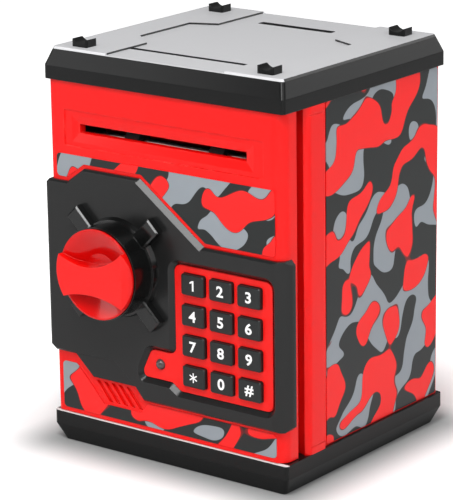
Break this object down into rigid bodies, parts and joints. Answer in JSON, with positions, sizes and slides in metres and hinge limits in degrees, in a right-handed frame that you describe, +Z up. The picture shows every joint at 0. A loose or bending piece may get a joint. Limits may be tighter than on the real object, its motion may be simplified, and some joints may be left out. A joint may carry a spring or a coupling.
{
  "type": "toy cash machine savings bank",
  "caption": "Free-standing toy savings bank with a hinged keypad door, turning knob, bill slot, coin slot and battery bay.",
  "frame": {"origin": "centre of the base's underside, on the surface the bank stands on", "axes": "+Z up, the door faces -Y, +X to the right as seen from the front"},
  "size_m": [0.136, 0.1454, 0.192],
  "materials": {
    "red_plastic": "smooth moulded ABS, satin gloss",
    "camouflage_print": "printed sheet, grey black and red camouflage blobs",
    "black_plastic": "moulded ABS, satin black",
    "grey_lid_plastic": "moulded ABS, satin light grey",
    "charcoal_plastic": "moulded ABS, fine satin charcoal",
    "black_gloss": "polished moulded ABS, black",
    "keypad_red": "moulded ABS, satin red",
    "knob_red": "polished moulded ABS, red",
    "key_black": "moulded key caps, satin black with white printed figures",
    "steel_screw": "zinc plated steel",
    "sheet_metal": "plain sheet steel",
    "nickel_spring": "nickel plated spring wire and strip",
    "cell_can": "cylindrical cell with a printed sleeve",
    "clear_lens": "clear moulded lens",
    "grey_rubber": "moulded rubber",
    "circuit_board": "green glass-fibre board",
    "speaker_body": "black pressed steel with a paper cone",
    "motor_can": "zinc plated steel can",
    "white_nylon": "moulded natural nylon"
  },
  "bodies": {
    "housing": {"housing_shell": "red_plastic", "hinge_post": "red_plastic", "side_print_left": "camouflage_print", "side_print_right": "camouflage_print", "lid": "black_plastic", "lid_plate": "grey_lid_plastic", "lid_corner_posts": "black_plastic", "case_screws": "steel_screw", "base": "black_plastic", "hinge_pins": "steel_screw", "strike_plate": "sheet_metal", "battery_tray": "black_plastic", "aa_cells": "cell_can", "battery_springs": "nickel_spring", "battery_contacts": "nickel_spring"},
    "battery_door": {"battery_cover": "black_plastic"},
    "battery_screw": {"battery_cover_screw": "steel_screw"},
    "door": {"door_panel": "red_plastic", "door_trim": "charcoal_plastic", "knob_collar": "black_gloss", "keypad_bezel": "keypad_red", "front_print": "camouflage_print", "status_led": "clear_lens", "keypad_mat": "grey_rubber", "keypad_board": "circuit_board", "door_back_cover": "black_plastic", "door_cover_screws": "steel_screw", "main_board": "circuit_board", "speaker": "speaker_body", "feeder_frame": "black_plastic", "feed_motor": "motor_can", "bill_sensor": "black_plastic", "lock_plate": "sheet_metal", "lock_solenoid": "motor_can"},
    "turning_knob": {"knob": "knob_red", "knob_shaft": "steel_screw", "latch_pinion": "white_nylon"},
    "bolt": {"latch_bolt": "sheet_metal"},
    "plunger": {"lock_plunger": "steel_screw"},
    "drive_roller": {"drive_shaft": "steel_screw", "drive_tyres": "grey_rubber", "drive_gear": "white_nylon"},
    "idler_roller": {"idler_shaft": "steel_screw", "idler_tyres": "grey_rubber"},
    "motor_rotor": {"motor_pinion": "white_nylon"},
    "keycap_1": {"key_1": "key_black"},
    "keycap_2": {"key_2": "key_black"},
    "keycap_3": {"key_3": "key_black"},
    "keycap_4": {"key_4": "key_black"},
    "keycap_5": {"key_5": "key_black"},
    "keycap_6": {"key_6": "key_black"},
    "keycap_7": {"key_7": "key_black"},
    "keycap_8": {"key_8": "key_black"},
    "keycap_9": {"key_9": "key_black"},
    "keycap_star": {"key_star": "key_black"},
    "keycap_0": {"key_0": "key_black"},
    "keycap_hash": {"key_hash": "key_black"}
  },
  "joints": [
    {"name": "door_hinge", "type": "hinge", "parent": "housing", "child": "door", "pos_m": [0.06, -0.0545, 0.094], "axis": [0, 0, 1], "range_deg": [0, 100]},
    {"name": "knob_turn", "type": "hinge", "parent": "door", "child": "turning_knob", "pos_m": [-0.0253, -0.064, 0.0916], "axis": [0, 1, 0], "range_deg": [0, 90]},
    {"name": "bolt_slide", "type": "slide", "parent": "door", "child": "bolt", "axis": [-1, 0, 0], "range_m": [0, 0.0076]},
    {"name": "plunger_drop", "type": "slide", "parent": "door", "child": "plunger", "axis": [0, 0, -1], "range_m": [0, 0.0032]},
    {"name": "drive_spin", "type": "hinge", "parent": "door", "child": "drive_roller", "pos_m": [0, -0.0485, 0.14755], "axis": [1, 0, 0], "continuous": true},
    {"name": "idler_spin", "type": "hinge", "parent": "door", "child": "idler_roller", "pos_m": [0, -0.0485, 0.15685], "axis": [1, 0, 0], "continuous": true},
    {"name": "motor_spin", "type": "hinge", "parent": "door", "child": "motor_rotor", "pos_m": [0.0516, -0.0485, 0.13675], "axis": [1, 0, 0], "continuous": true},
    {"name": "battery_cover_pull", "type": "slide", "parent": "housing", "child": "battery_door", "axis": [0, 0, -1], "range_m": [0, 0.06]},
    {"name": "battery_screw_turn", "type": "hinge", "parent": "battery_door", "child": "battery_screw", "pos_m": [0, 0.0538, 0.002], "axis": [0, 0, 1], "continuous": true},
    {"name": "key_1_press", "type": "slide", "parent": "door", "child": "keycap_1", "axis": [0, 1, 0], "range_m": [0, 0.0011], "stiffness_N_per_m": 300, "springref_m": -0.0003},
    {"name": "key_2_press", "type": "slide", "parent": "door", "child": "keycap_2", "axis": [0, 1, 0], "range_m": [0, 0.0011], "stiffness_N_per_m": 300, "springref_m": -0.0003},
    {"name": "key_3_press", "type": "slide", "parent": "door", "child": "keycap_3", "axis": [0, 1, 0], "range_m": [0, 0.0011], "stiffness_N_per_m": 300, "springref_m": -0.0003},
    {"name": "key_4_press", "type": "slide", "parent": "door", "child": "keycap_4", "axis": [0, 1, 0], "range_m": [0, 0.0011], "stiffness_N_per_m": 300, "springref_m": -0.0003},
    {"name": "key_5_press", "type": "slide", "parent": "door", "child": "keycap_5", "axis": [0, 1, 0], "range_m": [0, 0.0011], "stiffness_N_per_m": 300, "springref_m": -0.0003},
    {"name": "key_6_press", "type": "slide", "parent": "door", "child": "keycap_6", "axis": [0, 1, 0], "range_m": [0, 0.0011], "stiffness_N_per_m": 300, "springref_m": -0.0003},
    {"name": "key_7_press", "type": "slide", "parent": "door", "child": "keycap_7", "axis": [0, 1, 0], "range_m": [0, 0.0011], "stiffness_N_per_m": 300, "springref_m": -0.0003},
    {"name": "key_8_press", "type": "slide", "parent": "door", "child": "keycap_8", "axis": [0, 1, 0], "range_m": [0, 0.0011], "stiffness_N_per_m": 300, "springref_m": -0.0003},
    {"name": "key_9_press", "type": "slide", "parent": "door", "child": "keycap_9", "axis": [0, 1, 0], "range_m": [0, 0.0011], "stiffness_N_per_m": 300, "springref_m": -0.0003},
    {"name": "key_star_press", "type": "slide", "parent": "door", "child": "keycap_star", "axis": [0, 1, 0], "range_m": [0, 0.0011], "stiffness_N_per_m": 300, "springref_m": -0.0003},
    {"name": "key_0_press", "type": "slide", "parent": "door", "child": "keycap_0", "axis": [0, 1, 0], "range_m": [0, 0.0011], "stiffness_N_per_m": 300, "springref_m": -0.0003},
    {"name": "key_hash_press", "type": "slide", "parent": "door", "child": "keycap_hash", "axis": [0, 1, 0], "range_m": [0, 0.0011], "stiffness_N_per_m": 300, "springref_m": -0.0003}
  ],
  "couplings": [
    {"joint": "bolt_slide", "follows": "knob_turn", "m_per_rad": 0.0048},
    {"joint": "idler_spin", "follows": "drive_spin", "ratio": -1},
    {"joint": "motor_spin", "follows": "drive_spin", "ratio": -2}
  ]
}
